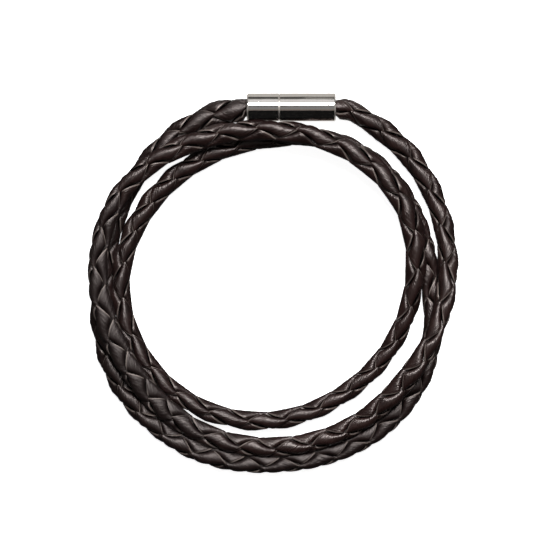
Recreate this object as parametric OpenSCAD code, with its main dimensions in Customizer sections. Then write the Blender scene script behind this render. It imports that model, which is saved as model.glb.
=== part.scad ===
// Wrap bracelet: one braided leather cord of three turns, lying flat, and the two-part barrel clasp
// that joins its ends. The origin is on the surface it lies on, in the middle of the coil, +Z up.

/* [Cord] */
// Diameter of the braided cord
cord_d = 4; // [3.4:0.1:4]

/* [Clasp] */
// Outside diameter of the barrel
clasp_d = 6; // [5.6:0.1:6.2]
// Length of the half with the spigot
short_half_l = 6.9; // [6.5:0.1:8]
// Length of the half with the socket
long_half_l = 12.1; // [9:0.1:12.1]
// Depth of the hole that each cord end is glued into
cord_hole_depth = 4.5; // [3:0.1:5]
// Diameter of the spigot that plugs the halves together
spigot_d = 4; // [3:0.1:4.4]
// Length of the spigot
spigot_l = 2; // [1:0.1:3]
// Chamfer on the barrel's two ends
end_chamfer = 0.3; // [0.1:0.05:0.5]
// Chamfer on both sides of the seam
seam_chamfer = 0.2; // [0.1:0.05:0.4]

/* [Hidden] */
$fn = 96;

leather_brown = [0.2, 0.155, 0.145];
polished_steel = [0.8, 0.8, 0.8];

// Clearance round a cord end in its hole, and round the spigot in its socket
fit = 0.05;
cord_sides = 12;
clasp_r = clasp_d / 2;
cord_hole_r = cord_d / 2;
socket_depth = spigot_l + 0.2;

// The barrel lies on the surface along X. Its seam stays where it is when a half changes length.
clasp_seam = [1.2, 37.6, clasp_r];
short_mouth = clasp_seam - [short_half_l, 0, 0];
long_mouth = clasp_seam + [long_half_l, 0, 0];
cord_end_depth = [cord_hole_depth - fit, 0, 0];

// The three turns run counter-clockwise, seen from above, from the short half of the clasp to the
// long one. Each row is [distance from the middle, height of the cord's centre], every 30 degrees.
first_row_angle = 120;
row_step = 30;
rings_per_row = 2;
first_turn = [
    [38.2, 2.1], [36.7, 2], [36.8, 2], [39.1, 2], [39.6, 2], [38.7, 2],
    [38.6, 2], [37.3, 2], [33.6, 2], [33.3, 2], [33.3, 2], [31, 2]];
second_turn = [
    [30.6, 2], [31.5, 2], [32.7, 2], [32.2, 2], [31, 2], [29.5, 2],
    [28.2, 2.1], [28.4, 2.5], [30, 4.8], [32.4, 6.1], [32.5, 6.1], [32.5, 6.1]];
third_turn = [
    [34.6, 5.9], [37.7, 6.2], [37.4, 6.2], [35.7, 5.4], [35.6, 3.3], [35, 3.7],
    [34.8, 4], [35.2, 6.2], [37, 5.4], [39.1, 2.5], [40.3, 2.1]];
turns = concat(first_turn, second_turn, third_turn);

// The stretches between the turns and the two holes in the clasp, as points of their own
start_bend = [-10.6, 37, 2.4];
end_bend = [16.6, 36.9, 2.7];

function row_at(rows, i) = rows[min(max(i, 0), len(rows) - 1)];

// Value between row i and the next at the fraction u, on a curve through all the rows
function between_rows(rows, i, u) =
    let (a = row_at(rows, i - 1), b = row_at(rows, i), c = row_at(rows, i + 1), d = row_at(rows, i + 2))
    (2 * b + (c - a) * u + (2 * a - 5 * b + 4 * c - d) * u * u + (3 * (b - c) + d - a) * u * u * u) / 2;

function coil_point(step) =
    let (row = between_rows(turns, floor(step / rings_per_row), step % rings_per_row / rings_per_row),
         angle = first_row_angle + step * row_step / rings_per_row)
    [row[0] * cos(angle), row[0] * sin(angle), row[1]];

coil = [for (step = [0 : rings_per_row * (len(turns) - 1)]) coil_point(step)];
route = concat(
    [short_mouth + cord_end_depth, short_mouth, start_bend],
    coil,
    [end_bend, long_mouth, long_mouth - cord_end_depth]);
last = len(route) - 1;

// The cord runs along the barrel in both holes, and from one ring to the next elsewhere
function in_clasp(i) = i < 2 || i > last - 2;
function unit(v) = v / norm(v);
function heading(i) = in_clasp(i) ? [-1, 0, 0] : unit(route[i + 1] - route[i - 1]);
function ring_radius(i) = in_clasp(i) ? cord_hole_r - fit : cord_d / 2;

function ring(i) =
    let (along = heading(i), across = unit(cross(along, [0, 0, 1])), up = cross(across, along))
    [for (side = [0 : cord_sides - 1])
        let (angle = side * 360 / cord_sides)
        route[i] + ring_radius(i) * (cos(angle) * across + sin(angle) * up)];

module braided_cord() {
    skin = [for (i = [0 : last - 1], side = [0 : cord_sides - 1])
        let (next = (side + 1) % cord_sides, here = i * cord_sides, there = here + cord_sides)
        each [[here + side, there + side, there + next], [here + side, there + next, here + next]]];
    start_cap = [for (side = [0 : cord_sides - 1]) side];
    end_cap = [for (side = [cord_sides - 1 : -1 : 0]) last * cord_sides + side];
    color(leather_brown)
        polyhedron([for (i = [0 : last]) each ring(i)], concat(skin, [start_cap, end_cap]));
}

// A solid turned about the barrel's axis, from a profile of [distance from the axis, distance along X]
module turned(profile) {
    color(polished_steel)
        rotate([90, 0, 90])
            rotate_extrude()
                polygon(profile);
}

module clasp_short_half() {
    tip_chamfer = seam_chamfer;
    translate(short_mouth)
        turned([
            [cord_hole_r, 0],
            [clasp_r - end_chamfer, 0],
            [clasp_r, end_chamfer],
            [clasp_r, short_half_l - seam_chamfer],
            [clasp_r - seam_chamfer, short_half_l],
            [spigot_d / 2, short_half_l],
            [spigot_d / 2, short_half_l + spigot_l - tip_chamfer],
            [spigot_d / 2 - tip_chamfer, short_half_l + spigot_l],
            [0, short_half_l + spigot_l],
            [0, cord_hole_depth],
            [cord_hole_r, cord_hole_depth]]);
}

module clasp_long_half() {
    hole_floor = long_half_l - cord_hole_depth;
    translate(clasp_seam)
        turned([
            [spigot_d / 2 + fit, 0],
            [clasp_r - seam_chamfer, 0],
            [clasp_r, seam_chamfer],
            [clasp_r, long_half_l - end_chamfer],
            [clasp_r - end_chamfer, long_half_l],
            [cord_hole_r, long_half_l],
            [cord_hole_r, hole_floor],
            [0, hole_floor],
            [0, socket_depth],
            [spigot_d / 2 + fit, socket_depth]]);
}

braided_cord();
clasp_short_half();
clasp_long_half();
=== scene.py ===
"""Cord bracelet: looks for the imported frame, in metres, +Z up, lying on the floor at z = 0."""
import math

import bpy
import numpy as np
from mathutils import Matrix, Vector


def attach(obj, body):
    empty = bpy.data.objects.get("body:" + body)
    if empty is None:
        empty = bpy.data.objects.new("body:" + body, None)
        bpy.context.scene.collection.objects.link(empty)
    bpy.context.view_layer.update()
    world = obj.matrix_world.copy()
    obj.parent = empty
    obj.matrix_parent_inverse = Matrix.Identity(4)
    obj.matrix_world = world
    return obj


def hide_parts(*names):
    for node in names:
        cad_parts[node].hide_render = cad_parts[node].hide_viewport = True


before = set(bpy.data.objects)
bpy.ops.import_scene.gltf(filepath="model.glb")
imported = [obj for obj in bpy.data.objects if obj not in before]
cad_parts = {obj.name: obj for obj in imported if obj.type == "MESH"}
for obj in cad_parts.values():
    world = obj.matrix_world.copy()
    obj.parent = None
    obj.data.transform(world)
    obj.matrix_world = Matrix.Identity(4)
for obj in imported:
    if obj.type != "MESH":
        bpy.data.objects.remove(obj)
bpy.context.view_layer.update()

MM = 0.001

# Camera

# The photograph looks straight down with a long lens
MM_PER_PIXEL = 0.214
FRAME_PIXELS = 550
FRAME_CENTRE = (0.32 * MM, 1.71 * MM)
SCALE_HEIGHT = 3 * MM  # the height at which MM_PER_PIXEL holds
LENS_MM = 250
SENSOR_MM = 36
CLIP_SHARE = 100  # how many times nearer or further than the bracelet the camera still sees


def make_camera():
    """Looks straight down at the middle of the photograph's frame, with +Y up in the picture."""
    data = bpy.data.cameras.new("camera")
    data.lens = LENS_MM
    data.sensor_width = SENSOR_MM
    camera = bpy.data.objects.new("camera", data)
    bpy.context.scene.collection.objects.link(camera)
    frame_width = FRAME_PIXELS * MM_PER_PIXEL * MM
    distance = frame_width * LENS_MM / SENSOR_MM
    camera.location = (*FRAME_CENTRE, SCALE_HEIGHT + distance)
    data.clip_start = distance / CLIP_SHARE
    data.clip_end = distance * CLIP_SHARE
    bpy.context.scene.camera = camera


# The cord's centreline

# The same rows as in the part's source: [distance from the middle, height], in millimetres, every
# 30 degrees, counter-clockwise seen from above, from the short half of the clasp to the long one.
# The other places and depths down to END_BEND are in millimetres too.
FIRST_ROW_ANGLE = 120
ROW_STEP = 30
RINGS_PER_ROW = 2
FIRST_TURN = [
    (38.2, 2.1), (36.7, 2), (36.8, 2), (39.1, 2), (39.6, 2), (38.7, 2),
    (38.6, 2), (37.3, 2), (33.6, 2), (33.3, 2), (33.3, 2), (31, 2)]
SECOND_TURN = [
    (30.6, 2), (31.5, 2), (32.7, 2), (32.2, 2), (31, 2), (29.5, 2),
    (28.2, 2.1), (28.4, 2.5), (30, 4.8), (32.4, 6.1), (32.5, 6.1), (32.5, 6.1)]
THIRD_TURN = [
    (34.6, 5.9), (37.7, 6.2), (37.4, 6.2), (35.7, 5.4), (35.6, 3.3), (35, 3.7),
    (34.8, 4), (35.2, 6.2), (37, 5.4), (39.1, 2.5), (40.3, 2.1)]
CLASP_AXIS_Y = 37.6
CLASP_AXIS_Z = 3.0
SHORT_MOUTH_X = -5.7
LONG_MOUTH_X = 13.3
CLASP_SEAM_X = 1.2
CORD_END_DEPTH = 4.45
START_BEND = (-10.6, 37, 2.4)
END_BEND = (16.6, 36.9, 2.7)
FINE_STEPS = 12  # points of the smooth line between two rings


def route_rings():
    """The points that the cord's tube has its rings at in the part's source, in metres."""
    rows = np.array(FIRST_TURN + SECOND_TURN + THIRD_TURN, float)
    coil = []
    for step in range(RINGS_PER_ROW * (len(rows) - 1) + 1):
        i, part = divmod(step, RINGS_PER_ROW)
        u = part / RINGS_PER_ROW
        a, b, c, d = (rows[min(max(k, 0), len(rows) - 1)] for k in (i - 1, i, i + 1, i + 2))
        distance, height = (2 * b + (c - a) * u + (2 * a - 5 * b + 4 * c - d) * u**2
                            + (3 * (b - c) + d - a) * u**3) / 2
        angle = math.radians(FIRST_ROW_ANGLE + step * ROW_STEP / RINGS_PER_ROW)
        coil.append((distance * math.cos(angle), distance * math.sin(angle), height))
    short_mouth = (SHORT_MOUTH_X, CLASP_AXIS_Y, CLASP_AXIS_Z)
    long_mouth = (LONG_MOUTH_X, CLASP_AXIS_Y, CLASP_AXIS_Z)
    start = [(SHORT_MOUTH_X + CORD_END_DEPTH, CLASP_AXIS_Y, CLASP_AXIS_Z), short_mouth, START_BEND]
    end = [END_BEND, long_mouth, (LONG_MOUTH_X - CORD_END_DEPTH, CLASP_AXIS_Y, CLASP_AXIS_Z)]
    return np.array(start + coil + end) * MM


def smooth_line(rings):
    """A centripetal Catmull-Rom curve through the rings."""
    knots = np.vstack([2 * rings[0] - rings[1], rings, 2 * rings[-1] - rings[-2]])
    line = []
    for p0, p1, p2, p3 in zip(knots, knots[1:], knots[2:], knots[3:]):
        gaps = [math.sqrt(np.linalg.norm(b - a)) for a, b in ((p0, p1), (p1, p2), (p2, p3))]
        t0, t1, t2, t3 = np.cumsum([0] + gaps)
        for t in np.linspace(t1, t2, FINE_STEPS, endpoint=False):
            a1 = ((t1 - t) * p0 + (t - t0) * p1) / (t1 - t0)
            a2 = ((t2 - t) * p1 + (t - t1) * p2) / (t2 - t1)
            a3 = ((t3 - t) * p2 + (t - t2) * p3) / (t3 - t2)
            b1 = ((t2 - t) * a1 + (t - t0) * a2) / (t2 - t0)
            b2 = ((t3 - t) * a2 + (t - t1) * a3) / (t3 - t1)
            line.append(((t2 - t) * b1 + (t - t1) * b2) / (t2 - t1))
    line.append(rings[-1])
    return np.array(line)


class Centreline:
    """The cord's line by its arc length, with the directions away from the middle and up."""

    def __init__(self, points):
        steps = np.linalg.norm(np.diff(points, axis=0), axis=1)
        self.at = np.concatenate([[0], np.cumsum(steps)])
        self.points = points
        self.length = self.at[-1]
        along = np.gradient(points, self.at, axis=0)
        along /= np.linalg.norm(along, axis=1, keepdims=True)
        self.out = np.cross(along, (0, 0, 1))
        self.out /= np.linalg.norm(self.out, axis=1, keepdims=True)
        self.up = np.cross(self.out, along)

    def sample(self, s):
        """Point, outward and upward directions at each arc length in s."""
        return [np.stack([np.interp(s, self.at, v[:, k]) for k in range(3)], -1)
                for v in (self.points, self.out, self.up)]


def curve_through(rows, column, at):
    """A smooth curve through one column of the rows, whose first column is the place along."""
    x, y = np.array(rows, float)[:, [0, column]].T
    slope = np.gradient(y, x)
    i = np.clip(np.searchsorted(x, at) - 1, 0, len(x) - 2)
    gap = x[i + 1] - x[i]
    u = (at - x[i]) / gap
    return ((1 + 2 * u) * (1 - u)**2 * y[i] + u * (1 - u)**2 * gap * slope[i]
            + u**2 * (3 - 2 * u) * y[i + 1] - u**2 * (1 - u) * gap * slope[i + 1])


# The braid

# Four flat leather strips, two laid left-handed and two right-handed: [hand, angle that it starts at].
# Each goes over the next and under the one after. An angle round the cord is 0 away from the coil's
# middle and 90 degrees up.
STRANDS = [(1, 0), (1, math.pi), (-1, 0), (-1, math.pi)]
# How the braid lies, counted along the cord in the photograph and lined up with it by comparing the
# render: [distance along the cord in millimetres, quarter turns that a strip has made round it, twist
# of the whole braid in degrees]
LAY_ROWS = [
    (0, -0.9, 0), (10, 1.6, 0), (18, 3.5, 0), (30, 6.5, 0), (45, 10.7, 10), (61, 14.8, 0),
    (73, 17.9, -5), (85, 21.4, -15), (96, 24.6, -30), (111, 28.6, -35), (126, 32.5, -40), (142, 36.7, -45),
    (150, 38.8, -50), (157, 40.7, -55), (165, 42.6, -55), (190, 48.7, -50), (200, 51.1, -55),
    (209, 53.5, -65), (234, 60, -65), (245, 62.7, -75), (254, 65.2, -80), (265, 68.3, -80),
    (277, 71.6, -80), (300, 77.3, -85), (311, 80.1, -90), (323, 82.9, -95), (337, 86.4, -100),
    (346, 88.8, -100), (361, 92.9, -105), (372, 95.7, -105), (385, 98.9, -100), (402, 102.9, -100),
    (419, 106.8, -115), (435, 110.6, -100), (451, 114.5, -105), (468, 118.6, -115), (484, 122.5, -130),
    (500, 126.6, -130), (509, 129.1, -120), (516, 131.3, -105), (527, 134, -110), (538, 136.9, -115),
    (553, 140.8, -120), (567, 144.5, -125), (582, 148.4, -140), (592, 150.6, -155), (604, 153.5, -165),
    (620, 157.4, -170), (636, 161.3, -180), (647, 164, -190)]
# How thick the braid is and where its middle lies, as measured in the photograph: [distance along in
# millimetres, share of its usual width, share of its usual height, shift outwards in millimetres]
SHAPE_ROWS = [
    (0, 0.84, 0.84, 0), (4.45, 0.84, 0.84, 0), (4.9, 0.84, 0.84, 0), (5.2, 1.2, 1.05, -0.65),
    (5.6, 1.24, 1.05, -0.62), (8, 1.34, 1.08, -0.47), (13, 1.2, 1.08, -0.25), (20, 1.1, 1.05, -0.05),
    (37, 1, 1.05, 0.1), (45, 1.1, 1.05, 0), (58, 1.2, 1.05, -0.1), (69, 1.15, 1.05, -0.1),
    (85, 1.1, 1.05, -0.05), (93, 1.05, 1.05, -0.1), (101, 1.1, 1.05, -0.05), (125, 1, 1.05, -0.1),
    (133, 1, 1.02, 0), (149, 1.1, 1.05, 0.05), (157, 1.05, 1.05, 0), (189, 1.1, 1.05, 0),
    (201, 1.1, 1.05, 0.1), (213, 1.05, 1.05, 0), (221, 0.95, 1.02, 0.1), (229, 1, 1.02, 0),
    (253, 1.05, 1.05, 0.1), (261, 1.05, 1.05, 0.1), (277, 1, 1, 0.05), (301, 1, 1, 0),
    (349, 0.95, 1, -0.05), (357, 0.95, 1, 0.05), (373, 1, 1, 0), (381, 1.1, 1.05, 0),
    (405, 1.1, 1.05, 0), (440, 1.05, 1.05, 0), (465, 1, 1, 0), (477, 1.05, 0.95, -0.05),
    (490, 1.2, 0.9, -0.2), (500, 1.2, 0.9, -0.1), (512, 1.2, 0.9, -0.1), (525, 1.1, 1, 0),
    (541, 1.05, 1.05, 0), (557, 1.05, 1.05, 0), (573, 1.15, 1.05, -0.15), (581, 1, 1.05, -0.05),
    (589, 1.05, 1.05, 0), (613, 1.05, 1.05, 0), (621, 1.1, 1.05, 0.1), (629, 1.15, 1.05, 0.1),
    (636, 1.05, 1.02, -0.1), (638.5, 1, 1, -0.1), (641.4, 1.03, 1, -0.12), (642.05, 0.86, 0.86, 0),
    (642.3, 0.86, 0.86, 0), (646.8, 0.86, 0.86, 0)]
# How dull the leather is: [distance along in millimetres, 0 for glossy, 1 for dull or more for duller]
DULL_ROWS = [
    (0, 1), (40, 0.8), (70, 1), (150, 1), (180, 0.3), (310, 0.3), (330, 0), (370, 0), (400, 0.3),
    (455, 0.4), (470, 1.2), (520, 1.2), (535, 0), (580, 0), (600, 0.2), (647, 0.2)]
STRIP_MAPS = ("across", "along", "level", "dull")
STRIP_WIDTH = 4.3 * MM
MIDDLE_RADIUS = 1.645 * MM  # radius of a strip's crown line where it is neither over nor under
LAY_RADIUS = 1.6 * MM  # radius that a strip's width and lay angle are worked out at
LIFT = 0.42 * MM  # how far a strip's face rises over a crossing, and sinks under one
BULGE = 0.3 * MM  # how much further its middle stands out over a crossing than the two ends do
OUTER_BULGE = 0.2 * MM  # how much more than that on the outside of the coil, and less on the inside
MEAN_BULGE = 0.64  # share of the bulge that is there on average
LIFT_SHARPNESS = 4  # how steeply a strip goes from over to under
LIFT_LATENESS = 0.12  # a strip comes up late and goes down early, by this share of a crossing
TIP_LATENESS = 0.45  # less so at the long tips of what shows of it, and more so at the other corners
SLOWING = 0.45  # how much slower a strip turns round the cord over a crossing, and faster under it
DEPTH_IN_LIFTS = 4  # how much of its level map a strip's side loses for each millimetre down it
STRAND_RINGS = 2000  # rings of vertices along each strip
RING_CROWDING = 2  # how much closer the rings are where a strip goes over or under
TABLE_POINTS = 20000  # places along the cord at which a strip's course is worked out
# A strip's section: [place across, from -1 to 1; depth below the crown line in millimetres], once
# round from the outer face to the hidden one
STRIP_SECTION = [
    (-1, 0.17), (-0.92, 0.02), (-0.7, 0), (-0.36, 0), (0, 0), (0.36, 0), (0.7, 0), (0.92, 0.02),
    (1, 0.17), (0.985, 0.5), (0, 0.65), (-0.985, 0.5)]
CROWN = 0.04 * MM  # how far the middle of a strip stands above its edges
# The strips lie over each other in four lines along the cord, and these lines stand out a little
CROSSING_RIDGE = 0.2 * MM


def lay_turned(hand, lay):
    """Angle that a strip of one hand has turned by; it turns more slowly where it lies over."""
    return lay - hand * SLOWING / 2 * np.sin(2 * lay)


def lay_at(s):
    """Angle by which the strips are laid round the cord, at the arc length s."""
    return curve_through(LAY_ROWS, 1, s / MM) * math.pi / 2


def lifted_at(hand, phase, across):
    """How far a strip is over (1) or under (-1) the strips it crosses, by its phase in the braid."""
    lateness = LIFT_LATENESS + TIP_LATENESS * across * np.sin(phase)
    lifted = np.tanh(LIFT_SHARPNESS * (hand * np.cos(phase) - lateness))
    return lifted / math.tanh(LIFT_SHARPNESS * (1 - LIFT_LATENESS))


def strand_grid(line, hand, start):
    """Vertices [ring, point of the section] of one strip, and its maps in the order of STRIP_MAPS."""
    across, depth = np.array(STRIP_SECTION).T[:, None]
    sideways = across * STRIP_WIDTH / 2
    table = np.linspace(0, line.length, TABLE_POINTS)
    turned_there = lay_turned(hand, lay_at(table))
    lay_angle_there = np.arctan(LAY_RADIUS * np.gradient(turned_there, table))

    def place(s0):
        """Arc length, angle round the cord and phase in the braid, for s0 on the strip's middle."""
        lay_angle = np.interp(s0, table, lay_angle_there)
        s = np.clip(s0 - hand * sideways * np.sin(lay_angle), 0, line.length)
        turned = hand * np.interp(s0, table, turned_there) + sideways * np.cos(lay_angle) / LAY_RADIUS
        return s, turned, hand * turned + lay_turned(-hand, lay_at(s))

    # The rings run along the strips that are crossed, closest together where this one passes them
    phase_there = place(table[:, None])[2]
    phase = np.linspace(phase_there[0].max(), phase_there[-1].min(), TABLE_POINTS)
    crowded = np.cumsum(1 + RING_CROWDING * (1 - lifted_at(hand, phase, 0)**2))
    phase = np.interp(np.linspace(crowded[0], crowded[-1], STRAND_RINGS), crowded, phase)
    s0 = np.stack([np.interp(phase, column, table) for column in phase_there.T], -1)
    s, turned, phase = place(s0)

    lifted = lifted_at(hand, phase, across)
    angle = turned + start + np.radians(curve_through(LAY_ROWS, 2, s / MM))
    bulge = BULGE + OUTER_BULGE * np.cos(angle)
    radius = MIDDLE_RADIUS + LIFT * lifted + CROWN * (1 - across**2) - depth * MM
    radius += bulge * (np.maximum(hand * np.cos(phase), 0) - MEAN_BULGE)
    radius -= CROSSING_RIDGE * np.sin(2 * turned)**2
    width, height, shift = (curve_through(SHAPE_ROWS, column, s / MM) for column in (1, 2, 3))
    point, out, up = line.sample(s)
    outwards = radius * width * np.cos(angle) + shift * MM
    upwards = radius * height * np.sin(angle)
    grid = point + outwards[..., None] * out + upwards[..., None] * up
    grid[..., 2] = np.maximum(grid[..., 2], 0)  # the floor presses it flat
    # The level map, which the leather turns into painted shade where a strip sinks under the others and
    # down its sides
    level = lifted - depth * DEPTH_IN_LIFTS
    dull = curve_through(DULL_ROWS, 1, s / MM)
    return grid, np.stack([np.broadcast_to(across, s.shape), s0 / MM, level, dull], -1)


def sharpen_cut_edges(mesh):
    """Keeps the shading crisp along the corners where a strip's face meets its cut edges."""
    corners = [j for j, (across, depth) in enumerate(STRIP_SECTION) if abs(across) == 1]
    ends = np.empty(len(mesh.edges) * 2, int)
    mesh.edges.foreach_get("vertices", ends)
    place = ends.reshape(-1, 2) % len(STRIP_SECTION)
    lengthwise = place[:, 0] == place[:, 1]
    mesh.edges.foreach_set("use_edge_sharp", lengthwise & np.isin(place[:, 0], corners))


def strand_faces(rings, sides, first):
    """Quads of a closed tube of rings, and its two end caps, with vertices numbered from first."""
    i = np.arange(rings - 1)[:, None]
    j = np.arange(sides)[None]
    after = (j + 1) % sides
    quads = np.stack([i * sides + j, (i + 1) * sides + j,
                      (i + 1) * sides + after, i * sides + after], -1).reshape(-1, 4) + first
    caps = [list(range(first, first + sides)),
            list(range(first + rings * sides - 1, first + (rings - 1) * sides - 1, -1))]
    return quads.tolist() + caps


def make_braid(line):
    """One mesh of the four strips."""
    vertices, maps, faces = [], [], []
    count = 0
    for number, (hand, start) in enumerate(STRANDS):
        grid, strip_maps = strand_grid(line, hand, start)
        rings, sides = grid.shape[:2]
        faces += strand_faces(rings, sides, count)
        vertices.append(grid.reshape(-1, 3))
        numbered = np.concatenate([strip_maps, np.full((rings, sides, 1), number)], -1)
        maps.append(numbered.reshape(-1, len(STRIP_MAPS) + 1))
        count += rings * sides
    mesh = bpy.data.meshes.new("leather_braid")
    mesh.from_pydata(np.vstack(vertices).tolist(), [], faces)
    maps = np.vstack(maps).astype(np.float32)
    for column, name in enumerate((*STRIP_MAPS, "strand")):
        mesh.attributes.new(name, "FLOAT", "POINT").data.foreach_set("value", maps[:, column])
    mesh.polygons.foreach_set("use_smooth", np.ones(len(faces), bool))
    mesh.update()
    sharpen_cut_edges(mesh)
    braid = bpy.data.objects.new("leather_braid", mesh)
    bpy.context.scene.collection.objects.link(braid)
    return braid


# Materials

class Material:
    """A node material, with short ways to add its nodes."""

    def __init__(self, name):
        self.made = bpy.data.materials.new(name)
        self.made.use_nodes = True
        self.tree = self.made.node_tree
        self.shader = self.tree.nodes["Principled BSDF"]

    def node(self, kind, inputs=(), **settings):
        """A new node; each input is (name or number, value or the output that feeds it)."""
        node = self.tree.nodes.new("ShaderNode" + kind)
        for name, value in settings.items():
            setattr(node, name, value)
        for name, value in inputs:
            if isinstance(value, bpy.types.NodeSocket):
                self.tree.links.new(value, node.inputs[name])
            else:
                node.inputs[name].default_value = value
        return node

    def feed(self, name, output):
        """Leads an output into the shader."""
        self.tree.links.new(output, self.shader.inputs[name])

    def math(self, operation, a, b=0, clamp=False):
        return self.node("Math", [(0, a), (1, b)], operation=operation, use_clamp=clamp).outputs[0]

    def attribute(self, name):
        return self.node("Attribute", attribute_name=name).outputs["Fac"]

    def ramp(self, value, low, high, to_low=0, to_high=1):
        """Value changed from the range low to high into the range to_low to to_high."""
        inputs = [("Value", value), ("From Min", low), ("From Max", high),
                  ("To Min", to_low), ("To Max", to_high)]
        return self.node("MapRange", inputs).outputs["Result"]

    def average(self, a, b):
        """Half of each."""
        return self.math("ADD", self.math("MULTIPLY", a, 0.5), self.math("MULTIPLY", b, 0.5))

    def noise(self, vector, scale, detail=2, roughness=0.5):
        """Noise with values about 0.5, its scale in marks for each unit of the vector."""
        inputs = [("Vector", vector), ("Scale", scale), ("Detail", detail), ("Roughness", roughness)]
        return self.node("TexNoise", inputs).outputs["Fac"]

    def mixed(self, factor, low, high):
        """A colour between two colours."""
        node = self.node("Mix", data_type="RGBA")
        for name, value in (("Factor", factor), ("A", low), ("B", high)):
            socket = [s for s in node.inputs if s.name == name and s.enabled][0]
            if isinstance(value, bpy.types.NodeSocket):
                self.tree.links.new(value, socket)
            else:
                socket.default_value = value
        return [s for s in node.outputs if s.enabled][0]


# The leather's colours, as red, green, blue and alpha in linear light
DARK_LEATHER = (0.005, 0.002, 0.0018, 1)
PALE_LEATHER = (0.022, 0.0105, 0.0093, 1)
CUT_EDGE_COLOUR = (0.17, 0.14, 0.125, 1)
# Painted shade, for where a strip sinks under the strips it crosses
PAINTED_SHADE_COLOUR = (0.002, 0.001, 0.001, 1)
LEATHER_GLOSS_TINT = (1, 0.89, 0.86, 1)
LEATHER_GLOSS = 0.6
PAINTED_SHADE_LEVELS = (0.5, -0.3)  # levels on a strip where the painted shade starts, and where it is darkest
CUT_EDGE_PLACES = (0.9, 0.96)  # places across where the cut edge's colour starts, and where it is full
CUT_EDGE_PATCHES = (0.3, 0.6)  # values of the patches where that colour starts, and where it is full
# Noise in the leather: [marks for each millimetre, detail, roughness]. Creases are stretched.
GRAIN = (3.4, 3, 0.6)
PATCHES = (0.35, 2, 0.5)
CREASES = (1, 3, 0.65)
CREASE_STRETCH = (0.35, 3.2, 1)  # along a strip, across it, and from strand to strand
STRANDS_APART = 37  # millimetres between the strands' places in the noise
PALE_TONES = (0.35, 0.65)  # tones between which the leather goes from dark to pale
ROUGH_TONES = (0.6, 1.4)  # tones between which it goes from its least roughness to its greatest
LEATHER_ROUGHNESS = (0.26, 0.35)
DULL_LESS_PALE = 0.4  # how much less pale a dull stretch is
DULL_ROUGHER = 0.1  # how much rougher a dull stretch is
LEATHER_RELIEF = 0.12 * MM
GRAIN_RELIEF = 0.3
CREASE_RELIEF = 1.4


def leather_material():
    """Dark brown, semi-gloss, with fine grain, creases along each strip, paler cut edges and painted shade
    where a strip sinks under the others.
    """
    m = Material("dark_brown_leather")
    across, along, level, dull = (m.attribute(name) for name in STRIP_MAPS)
    # A strip laid out flat, in millimetres, each strand in a place of its own
    flat = m.node("CombineXYZ", [
        ("X", along),
        ("Y", m.math("MULTIPLY", across, STRIP_WIDTH / 2 / MM)),
        ("Z", m.math("MULTIPLY", m.attribute("strand"), STRANDS_APART))]).outputs[0]
    grain = m.noise(flat, *GRAIN)
    patches = m.noise(flat, *PATCHES)
    stretched = m.node("Mapping", [("Vector", flat), ("Scale", CREASE_STRETCH)]).outputs[0]
    creases = m.noise(stretched, *CREASES)

    less_pale = m.math("MULTIPLY", dull, DULL_LESS_PALE)
    pale = m.ramp(m.average(grain, patches), *PALE_TONES)
    face = m.mixed(m.math("SUBTRACT", pale, less_pale, clamp=True), DARK_LEATHER, PALE_LEATHER)
    at_edge = m.ramp(m.math("ABSOLUTE", across), *CUT_EDGE_PLACES)
    worn = m.math("MULTIPLY", at_edge, m.ramp(patches, *CUT_EDGE_PATCHES))
    # Painted shade: darker where a strip sinks under the strips it crosses and down its sides
    painted_shade = m.ramp(level, *PAINTED_SHADE_LEVELS)
    m.feed("Base Color", m.mixed(painted_shade, m.mixed(worn, face, CUT_EDGE_COLOUR), PAINTED_SHADE_COLOUR))
    rough = m.ramp(m.math("ADD", patches, creases), *ROUGH_TONES, *LEATHER_ROUGHNESS)
    m.feed("Roughness", m.math("ADD", rough, m.math("MULTIPLY", dull, DULL_ROUGHER)))

    relief = m.math("ADD", m.math("MULTIPLY", grain, GRAIN_RELIEF),
                    m.math("MULTIPLY", creases, CREASE_RELIEF))
    bump = m.node("Bump", [("Strength", 1), ("Distance", LEATHER_RELIEF), ("Height", relief)])
    m.feed("Normal", bump.outputs[0])
    m.shader.inputs["Specular IOR Level"].default_value = LEATHER_GLOSS
    m.shader.inputs["Specular Tint"].default_value = LEATHER_GLOSS_TINT
    return m.made


# The steel's colours, and how many marks it has in a metre along the barrel and both ways across it
DARK_STEEL = (0.66, 0.63, 0.60, 1)
PALE_STEEL = (0.78, 0.75, 0.72, 1)
TURNING_MARKS = (9000, 300, 300)
HAIR_SCRATCHES = (150, 5000, 5000)
DENTS = 260
MARK_RELIEF = 0.01 * MM
MARK_STRENGTH = 0.25
DENT_RELIEF = 0.05 * MM
MARKED = (0.3, 0.7)  # values of the marks' noise between which the steel changes
STEEL_ROUGHNESS = (0.05, 0.1)
WORN_ROUGHNESS = 0.4
# How far from the seam, and from an end, the wear starts, and how far it is full
SEAM_WEAR = (0.25 * MM, 0.15 * MM)
END_WEAR = (0.35 * MM, 0.25 * MM)


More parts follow.
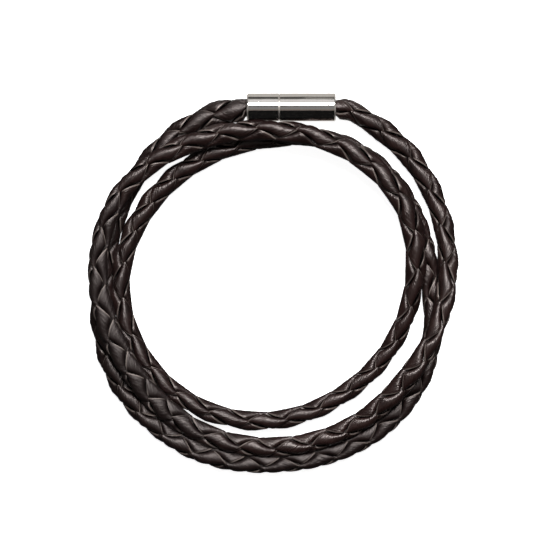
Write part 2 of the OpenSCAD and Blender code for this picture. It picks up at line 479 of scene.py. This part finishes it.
def steel_material():
    """Polished metal with faint turning marks round the barrel and hair scratches along it."""
    m = Material("polished_steel")
    m.shader.inputs["Metallic"].default_value = 1
    place = m.node("TexCoord").outputs["Object"]
    turning = m.node("Mapping", [("Vector", place), ("Scale", TURNING_MARKS)]).outputs[0]
    hairs = m.node("Mapping", [("Vector", place), ("Scale", HAIR_SCRATCHES)]).outputs[0]
    marks = m.average(m.noise(turning, 1), m.noise(hairs, 1, 3))
    m.feed("Base Color", m.mixed(m.ramp(marks, *MARKED), DARK_STEEL, PALE_STEEL))

    # The chamfers at the seam and at both ends are worn dull
    x = m.node("SeparateXYZ", [("Vector", place)]).outputs["X"]
    middle_x = (SHORT_MOUTH_X + LONG_MOUTH_X) / 2 * MM
    half_length = (LONG_MOUTH_X - SHORT_MOUTH_X) / 2 * MM
    from_seam = m.math("ABSOLUTE", m.math("SUBTRACT", x, CLASP_SEAM_X * MM))
    from_middle = m.math("ABSOLUTE", m.math("SUBTRACT", x, middle_x))
    at_end = m.ramp(from_middle, half_length - END_WEAR[0], half_length - END_WEAR[1])
    worn = m.math("MAXIMUM", m.ramp(from_seam, *SEAM_WEAR), at_end)
    smooth = m.ramp(marks, *MARKED, *STEEL_ROUGHNESS)
    m.feed("Roughness", m.ramp(worn, 0, 1, smooth, WORN_ROUGHNESS))

    fine = m.node("Bump", [("Strength", MARK_STRENGTH), ("Distance", MARK_RELIEF), ("Height", marks)])
    dents = m.node("Bump", [("Strength", 1), ("Distance", DENT_RELIEF),
                            ("Height", m.noise(place, DENTS)), ("Normal", fine.outputs[0])])
    m.feed("Normal", dents.outputs[0])
    return m.made


# Floor and light

FLOOR_HALF = 3
FLOOR_COLOUR = (0.9, 0.9, 0.9, 1)
FLOOR_ROUGHNESS = 0.9
FLOOR_GLOW = 0.93


def flat_object(name, corners):
    """A piece of staging with one face."""
    mesh = bpy.data.meshes.new(name)
    mesh.from_pydata(corners, [], [(0, 1, 2, 3)])
    made = bpy.data.objects.new(name, mesh)
    bpy.context.scene.collection.objects.link(made)
    return made


def make_floor():
    half = FLOOR_HALF
    floor = flat_object("floor", [(-half, -half, 0), (half, -half, 0), (half, half, 0), (-half, half, 0)])
    m = Material("pale_floor")
    m.shader.inputs["Base Color"].default_value = FLOOR_COLOUR
    m.shader.inputs["Roughness"].default_value = FLOOR_ROUGHNESS
    m.shader.inputs["Emission Color"].default_value = (1, 1, 1, 1)
    m.shader.inputs["Emission Strength"].default_value = FLOOR_GLOW
    floor.data.materials.append(m.made)
    # The studio's plain light shows in the gloss in its place, and it throws no light up
    floor.visible_glossy = floor.visible_diffuse = False


STUDIO_COLOUR = (1, 0.97, 0.94, 1)
STUDIO_GLOW = 0.05
# Long lights along X, all equally far from the middle of the coil: [name, the angles from the vertical
# towards +Y that it fills, lean towards +X, length in metres, radiance, colour]
SOFTBOX_DISTANCE = 1.3
WHITE = (1, 1, 1)
SOFTBOXES = [
    ("softbox_above", 19, 33.5, 0.08, 0.55, 41, WHITE),
    ("softbox_rim", 10, 19, 0.08, 0.55, 0.9, WHITE),
    ("softbox_behind", 39, 68, 0, 2.4, 0.8, WHITE),
    ("softbox_near", -16, 6, 0, 2.4, 0.2, WHITE),
    ("softbox_low", -35, -16, 0, 2.4, 0.19, (1, 0.84, 0.76))]
CARD_COLOUR = (0.01, 0.01, 0.01, 1)
CARD_GLOW_COLOUR = (1, 0.97, 0.92, 1)
# Long cards along X: [name, the angles that it fills, distance in metres, glow]
LONG_CARD_HALF = 2
LONG_CARDS = [("near_card", -38, -89, 1.2, 0), ("far_card", 72, 85, 1.5, 0.16)]
# How far beyond the barrel the light card stands, in millimetres, and between which heights, from the
# angles from the vertical at which the barrel shows it
FAR_REACH = 30
FAR_LOW, FAR_HIGH = (CLASP_AXIS_Z + FAR_REACH / math.tan(math.radians(angle)) for angle in (82, 70))
# Cards round the clasp: [name, one corner and the opposite one in millimetres, glow]. They paint
# reflections in the barrel: the pale surface that it lies on, a dark reflection between it and the next
# turn, and pale ones off its ends.
CLASP_CARDS = [
    ("pale_card", (SHORT_MOUTH_X - 12, CLASP_AXIS_Y - 7, 0.1),
     (LONG_MOUTH_X + 12, CLASP_AXIS_Y + 60, 0.1), 0.6),
    # Painted dark reflection where the barrel would show the next turn's lit leather
    ("dark_card", (SHORT_MOUTH_X, CLASP_AXIS_Y - 2.5, 4.6),
     (LONG_MOUTH_X, CLASP_AXIS_Y - 2.5, 9), 0),
    ("left_card", (SHORT_MOUTH_X - 9, CLASP_AXIS_Y - 5, 4.7),
     (SHORT_MOUTH_X - 9, CLASP_AXIS_Y + 4, 9), 0.5),
    ("right_card", (LONG_MOUTH_X + 9, CLASP_AXIS_Y - 5, 4.7),
     (LONG_MOUTH_X + 9, CLASP_AXIS_Y + 4, 9), 0.5),
    ("light_card", (LONG_MOUTH_X - 6, CLASP_AXIS_Y + FAR_REACH, FAR_LOW),
     (LONG_MOUTH_X, CLASP_AXIS_Y + FAR_REACH, FAR_HIGH), 0.4)]


def direction(degrees, aside=0):
    """Unit vector by its angle from the vertical towards +Y, leaning aside by a share towards +X."""
    angle = math.radians(degrees)
    return Vector((aside, math.sin(angle), math.cos(angle))).normalized()


def softbox(name, low, high, aside, length, radiance, colour):
    """A long light along X that fills the angles low to high, seen from the middle of the coil."""
    data = bpy.data.lights.new(name, "AREA")
    data.shape = "RECTANGLE"
    width = 2 * SOFTBOX_DISTANCE * math.tan(math.radians(high - low) / 2)
    data.size, data.size_y = length, width
    data.energy = radiance * math.pi * length * width
    data.color = colour
    light = bpy.data.objects.new(name, data)
    towards = direction((low + high) / 2, aside)
    light.location = towards * SOFTBOX_DISTANCE
    light.rotation_euler = towards.to_track_quat("Z", "Y").to_euler()
    bpy.context.scene.collection.objects.link(light)


def reflected_card(name, corners, glow):
    """A card that shows only in what the gloss reflects."""
    card = flat_object(name, corners)
    m = Material(name)
    m.shader.inputs["Base Color"].default_value = CARD_COLOUR
    m.shader.inputs["Roughness"].default_value = 1
    m.shader.inputs["Specular IOR Level"].default_value = 0
    m.shader.inputs["Emission Color"].default_value = CARD_GLOW_COLOUR
    m.shader.inputs["Emission Strength"].default_value = glow
    card.data.materials.append(m.made)
    card.visible_camera = card.visible_diffuse = False
    card.visible_shadow = card.visible_transmission = False


def long_card(name, low, high, distance, glow):
    """A card along X that fills the angles low to high, seen from the middle of the coil."""
    half = LONG_CARD_HALF
    near, far = direction(low) * distance, direction(high) * distance
    reflected_card(name, [(-half, near.y, near.z), (half, near.y, near.z),
                          (half, far.y, far.z), (-half, far.y, far.z)], glow)


def clasp_card(name, start, end, glow):
    """A card between two opposite corners, in millimetres, that share their x, y or z."""
    a, b = (axis for axis in range(3) if start[axis] != end[axis])
    corners = [[place * MM for place in start] for _ in range(4)]
    for corner in corners[1:3]:
        corner[a] = end[a] * MM
    for corner in corners[2:]:
        corner[b] = end[b] * MM
    reflected_card(name, corners, glow)


def make_light():
    world = bpy.data.worlds.new("studio")
    bpy.context.scene.world = world
    world.use_nodes = True
    background = world.node_tree.nodes["Background"]
    background.inputs["Color"].default_value = STUDIO_COLOUR
    background.inputs["Strength"].default_value = STUDIO_GLOW
    world.cycles_visibility.diffuse = False
    for row in SOFTBOXES:
        softbox(*row)
    for row in LONG_CARDS:
        long_card(*row)
    for row in CLASP_CARDS:
        clasp_card(*row)


make_camera()
line = Centreline(smooth_line(route_rings()))
braid = make_braid(line)
braid.data.materials.append(leather_material())
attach(braid, "root")
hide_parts("braided_cord")
steel = steel_material()
for node in ("clasp_short_half", "clasp_long_half"):
    clasp = bpy.data.objects[node]
    for slot in clasp.material_slots:
        slot.material = steel
make_floor()
make_light()
bpy.context.scene.view_settings.view_transform = "Standard"
